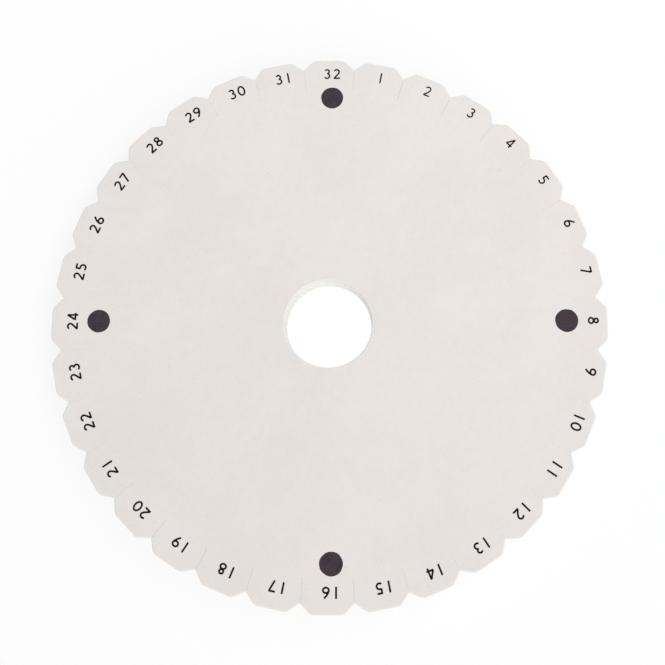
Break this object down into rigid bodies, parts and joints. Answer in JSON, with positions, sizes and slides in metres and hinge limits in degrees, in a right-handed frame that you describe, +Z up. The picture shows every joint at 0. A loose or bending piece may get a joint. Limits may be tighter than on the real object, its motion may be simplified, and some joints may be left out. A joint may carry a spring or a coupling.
{
  "type": "kumihimo braiding disk",
  "caption": "Round foam braiding disk with a centre hole and a slotted rim; its bendable numbered tabs hold the cords apart while a braid grows down through the hole.",
  "frame": {"origin": "centre of the hole, on the underside that the disk rests on", "axes": "+Z up out of the printed face, +Y towards the tab with the highest number, +X towards the tab a quarter turn clockwise from it"},
  "size_m": [0.15, 0.15, 0.01],
  "materials": {
    "foam": "matte",
    "ink": "matte"
  },
  "bodies": {
    "slab": {"foam_plate": "foam", "tab_roots": "foam", "quarter_dots": "ink"},
    "tab_01": {"tab_01": "foam"},
    "tab_02": {"tab_02": "foam"},
    "tab_03": {"tab_03": "foam"},
    "tab_04": {"tab_04": "foam"},
    "tab_05": {"tab_05": "foam"},
    "tab_06": {"tab_06": "foam"},
    "tab_07": {"tab_07": "foam"},
    "tab_08": {"tab_08": "foam"},
    "tab_09": {"tab_09": "foam"},
    "tab_10": {"tab_10": "foam"},
    "tab_11": {"tab_11": "foam"},
    "tab_12": {"tab_12": "foam"},
    "tab_13": {"tab_13": "foam"},
    "tab_14": {"tab_14": "foam"},
    "tab_15": {"tab_15": "foam"},
    "tab_16": {"tab_16": "foam"},
    "tab_17": {"tab_17": "foam"},
    "tab_18": {"tab_18": "foam"},
    "tab_19": {"tab_19": "foam"},
    "tab_20": {"tab_20": "foam"},
    "tab_21": {"tab_21": "foam"},
    "tab_22": {"tab_22": "foam"},
    "tab_23": {"tab_23": "foam"},
    "tab_24": {"tab_24": "foam"},
    "tab_25": {"tab_25": "foam"},
    "tab_26": {"tab_26": "foam"},
    "tab_27": {"tab_27": "foam"},
    "tab_28": {"tab_28": "foam"},
    "tab_29": {"tab_29": "foam"},
    "tab_30": {"tab_30": "foam"},
    "tab_31": {"tab_31": "foam"},
    "tab_32": {"tab_32": "foam"}
  },
  "joints": [
    {"name": "tab_01_flex", "type": "hinge", "parent": "slab", "child": "tab_01", "pos_m": [0.01315, 0.06609, 0.005], "axis": [0.9808, -0.1951, 0], "range_deg": [-8, 8], "stiffness_Nm_per_rad": 0.2, "deforming": ["tab_roots"]},
    {"name": "tab_02_flex", "type": "hinge", "parent": "slab", "child": "tab_02", "pos_m": [0.02579, 0.06225, 0.005], "axis": [0.9239, -0.3827, 0], "range_deg": [-8, 8], "stiffness_Nm_per_rad": 0.2, "deforming": ["tab_roots"]},
    {"name": "tab_03_flex", "type": "hinge", "parent": "slab", "child": "tab_03", "pos_m": [0.03744, 0.05603, 0.005], "axis": [0.8315, -0.5556, 0], "range_deg": [-8, 8], "stiffness_Nm_per_rad": 0.2, "deforming": ["tab_roots"]},
    {"name": "tab_04_flex", "type": "hinge", "parent": "slab", "child": "tab_04", "pos_m": [0.04765, 0.04765, 0.005], "axis": [0.7071, -0.7071, 0], "range_deg": [-8, 8], "stiffness_Nm_per_rad": 0.2, "deforming": ["tab_roots"]},
    {"name": "tab_05_flex", "type": "hinge", "parent": "slab", "child": "tab_05", "pos_m": [0.05603, 0.03744, 0.005], "axis": [0.5556, -0.8315, 0], "range_deg": [-8, 8], "stiffness_Nm_per_rad": 0.2, "deforming": ["tab_roots"]},
    {"name": "tab_06_flex", "type": "hinge", "parent": "slab", "child": "tab_06", "pos_m": [0.06225, 0.02579, 0.005], "axis": [0.3827, -0.9239, 0], "range_deg": [-8, 8], "stiffness_Nm_per_rad": 0.2, "deforming": ["tab_roots"]},
    {"name": "tab_07_flex", "type": "hinge", "parent": "slab", "child": "tab_07", "pos_m": [0.06609, 0.01315, 0.005], "axis": [0.1951, -0.9808, 0], "range_deg": [-8, 8], "stiffness_Nm_per_rad": 0.2, "deforming": ["tab_roots"]},
    {"name": "tab_08_flex", "type": "hinge", "parent": "slab", "child": "tab_08", "pos_m": [0.06738, 0, 0.005], "axis": [0, -1, 0], "range_deg": [-8, 8], "stiffness_Nm_per_rad": 0.2, "deforming": ["tab_roots"]},
    {"name": "tab_09_flex", "type": "hinge", "parent": "slab", "child": "tab_09", "pos_m": [0.06609, -0.01315, 0.005], "axis": [-0.1951, -0.9808, 0], "range_deg": [-8, 8], "stiffness_Nm_per_rad": 0.2, "deforming": ["tab_roots"]},
    {"name": "tab_10_flex", "type": "hinge", "parent": "slab", "child": "tab_10", "pos_m": [0.06225, -0.02579, 0.005], "axis": [-0.3827, -0.9239, 0], "range_deg": [-8, 8], "stiffness_Nm_per_rad": 0.2, "deforming": ["tab_roots"]},
    {"name": "tab_11_flex", "type": "hinge", "parent": "slab", "child": "tab_11", "pos_m": [0.05603, -0.03744, 0.005], "axis": [-0.5556, -0.8315, 0], "range_deg": [-8, 8], "stiffness_Nm_per_rad": 0.2, "deforming": ["tab_roots"]},
    {"name": "tab_12_flex", "type": "hinge", "parent": "slab", "child": "tab_12", "pos_m": [0.04765, -0.04765, 0.005], "axis": [-0.7071, -0.7071, 0], "range_deg": [-8, 8], "stiffness_Nm_per_rad": 0.2, "deforming": ["tab_roots"]},
    {"name": "tab_13_flex", "type": "hinge", "parent": "slab", "child": "tab_13", "pos_m": [0.03744, -0.05603, 0.005], "axis": [-0.8315, -0.5556, 0], "range_deg": [-8, 8], "stiffness_Nm_per_rad": 0.2, "deforming": ["tab_roots"]},
    {"name": "tab_14_flex", "type": "hinge", "parent": "slab", "child": "tab_14", "pos_m": [0.02579, -0.06225, 0.005], "axis": [-0.9239, -0.3827, 0], "range_deg": [-8, 8], "stiffness_Nm_per_rad": 0.2, "deforming": ["tab_roots"]},
    {"name": "tab_15_flex", "type": "hinge", "parent": "slab", "child": "tab_15", "pos_m": [0.01315, -0.06609, 0.005], "axis": [-0.9808, -0.1951, 0], "range_deg": [-8, 8], "stiffness_Nm_per_rad": 0.2, "deforming": ["tab_roots"]},
    {"name": "tab_16_flex", "type": "hinge", "parent": "slab", "child": "tab_16", "pos_m": [0, -0.06738, 0.005], "axis": [-1, 0, 0], "range_deg": [-8, 8], "stiffness_Nm_per_rad": 0.2, "deforming": ["tab_roots"]},
    {"name": "tab_17_flex", "type": "hinge", "parent": "slab", "child": "tab_17", "pos_m": [-0.01315, -0.06609, 0.005], "axis": [-0.9808, 0.1951, 0], "range_deg": [-8, 8], "stiffness_Nm_per_rad": 0.2, "deforming": ["tab_roots"]},
    {"name": "tab_18_flex", "type": "hinge", "parent": "slab", "child": "tab_18", "pos_m": [-0.02579, -0.06225, 0.005], "axis": [-0.9239, 0.3827, 0], "range_deg": [-8, 8], "stiffness_Nm_per_rad": 0.2, "deforming": ["tab_roots"]},
    {"name": "tab_19_flex", "type": "hinge", "parent": "slab", "child": "tab_19", "pos_m": [-0.03744, -0.05603, 0.005], "axis": [-0.8315, 0.5556, 0], "range_deg": [-8, 8], "stiffness_Nm_per_rad": 0.2, "deforming": ["tab_roots"]},
    {"name": "tab_20_flex", "type": "hinge", "parent": "slab", "child": "tab_20", "pos_m": [-0.04765, -0.04765, 0.005], "axis": [-0.7071, 0.7071, 0], "range_deg": [-8, 8], "stiffness_Nm_per_rad": 0.2, "deforming": ["tab_roots"]},
    {"name": "tab_21_flex", "type": "hinge", "parent": "slab", "child": "tab_21", "pos_m": [-0.05603, -0.03744, 0.005], "axis": [-0.5556, 0.8315, 0], "range_deg": [-8, 8], "stiffness_Nm_per_rad": 0.2, "deforming": ["tab_roots"]},
    {"name": "tab_22_flex", "type": "hinge", "parent": "slab", "child": "tab_22", "pos_m": [-0.06225, -0.02579, 0.005], "axis": [-0.3827, 0.9239, 0], "range_deg": [-8, 8], "stiffness_Nm_per_rad": 0.2, "deforming": ["tab_roots"]},
    {"name": "tab_23_flex", "type": "hinge", "parent": "slab", "child": "tab_23", "pos_m": [-0.06609, -0.01315, 0.005], "axis": [-0.1951, 0.9808, 0], "range_deg": [-8, 8], "stiffness_Nm_per_rad": 0.2, "deforming": ["tab_roots"]},
    {"name": "tab_24_flex", "type": "hinge", "parent": "slab", "child": "tab_24", "pos_m": [-0.06738, 0, 0.005], "axis": [0, 1, 0], "range_deg": [-8, 8], "stiffness_Nm_per_rad": 0.2, "deforming": ["tab_roots"]},
    {"name": "tab_25_flex", "type": "hinge", "parent": "slab", "child": "tab_25", "pos_m": [-0.06609, 0.01315, 0.005], "axis": [0.1951, 0.9808, 0], "range_deg": [-8, 8], "stiffness_Nm_per_rad": 0.2, "deforming": ["tab_roots"]},
    {"name": "tab_26_flex", "type": "hinge", "parent": "slab", "child": "tab_26", "pos_m": [-0.06225, 0.02579, 0.005], "axis": [0.3827, 0.9239, 0], "range_deg": [-8, 8], "stiffness_Nm_per_rad": 0.2, "deforming": ["tab_roots"]},
    {"name": "tab_27_flex", "type": "hinge", "parent": "slab", "child": "tab_27", "pos_m": [-0.05603, 0.03744, 0.005], "axis": [0.5556, 0.8315, 0], "range_deg": [-8, 8], "stiffness_Nm_per_rad": 0.2, "deforming": ["tab_roots"]},
    {"name": "tab_28_flex", "type": "hinge", "parent": "slab", "child": "tab_28", "pos_m": [-0.04765, 0.04765, 0.005], "axis": [0.7071, 0.7071, 0], "range_deg": [-8, 8], "stiffness_Nm_per_rad": 0.2, "deforming": ["tab_roots"]},
    {"name": "tab_29_flex", "type": "hinge", "parent": "slab", "child": "tab_29", "pos_m": [-0.03744, 0.05603, 0.005], "axis": [0.8315, 0.5556, 0], "range_deg": [-8, 8], "stiffness_Nm_per_rad": 0.2, "deforming": ["tab_roots"]},
    {"name": "tab_30_flex", "type": "hinge", "parent": "slab", "child": "tab_30", "pos_m": [-0.02579, 0.06225, 0.005], "axis": [0.9239, 0.3827, 0], "range_deg": [-8, 8], "stiffness_Nm_per_rad": 0.2, "deforming": ["tab_roots"]},
    {"name": "tab_31_flex", "type": "hinge", "parent": "slab", "child": "tab_31", "pos_m": [-0.01315, 0.06609, 0.005], "axis": [0.9808, 0.1951, 0], "range_deg": [-8, 8], "stiffness_Nm_per_rad": 0.2, "deforming": ["tab_roots"]},
    {"name": "tab_32_flex", "type": "hinge", "parent": "slab", "child": "tab_32", "pos_m": [0, 0.06738, 0.005], "axis": [1, 0, 0], "range_deg": [-8, 8], "stiffness_Nm_per_rad": 0.2, "deforming": ["tab_roots"]}
  ]
}
